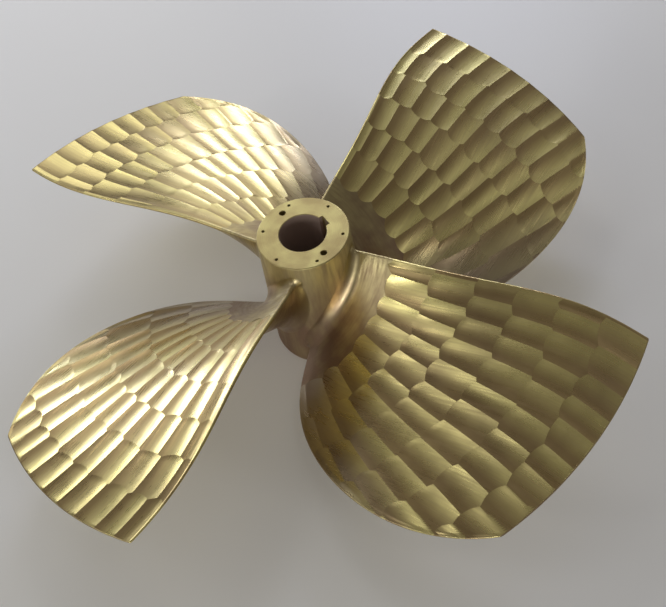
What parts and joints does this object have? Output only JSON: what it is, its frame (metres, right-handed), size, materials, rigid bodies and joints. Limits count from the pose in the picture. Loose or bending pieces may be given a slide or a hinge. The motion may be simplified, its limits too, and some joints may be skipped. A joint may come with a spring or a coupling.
{
  "type": "marine propeller",
  "caption": "Four-bladed right-handed marine propeller with broad square-tipped blades on a keyed, parallel-bored hub.",
  "frame": {"origin": "centre of the hub's forward face, on the shaft axis, which is also the lowest point", "axes": "+Z along the shaft, pointing aft; +X through the keyway and the middle radius of blade 1; blades numbered counter-clockwise seen from aft"},
  "size_m": [1, 1, 0.232],
  "materials": {
    "hub_bronze": "turned and hand-ground manganese bronze",
    "blade_bronze": "manganese bronze, ground in overlapping scalloped strokes"
  },
  "bodies": {
    "root": {"hub": "hub_bronze", "blade_1": "blade_bronze", "blade_2": "blade_bronze", "blade_3": "blade_bronze", "blade_4": "blade_bronze"}
  },
  "joints": []
}
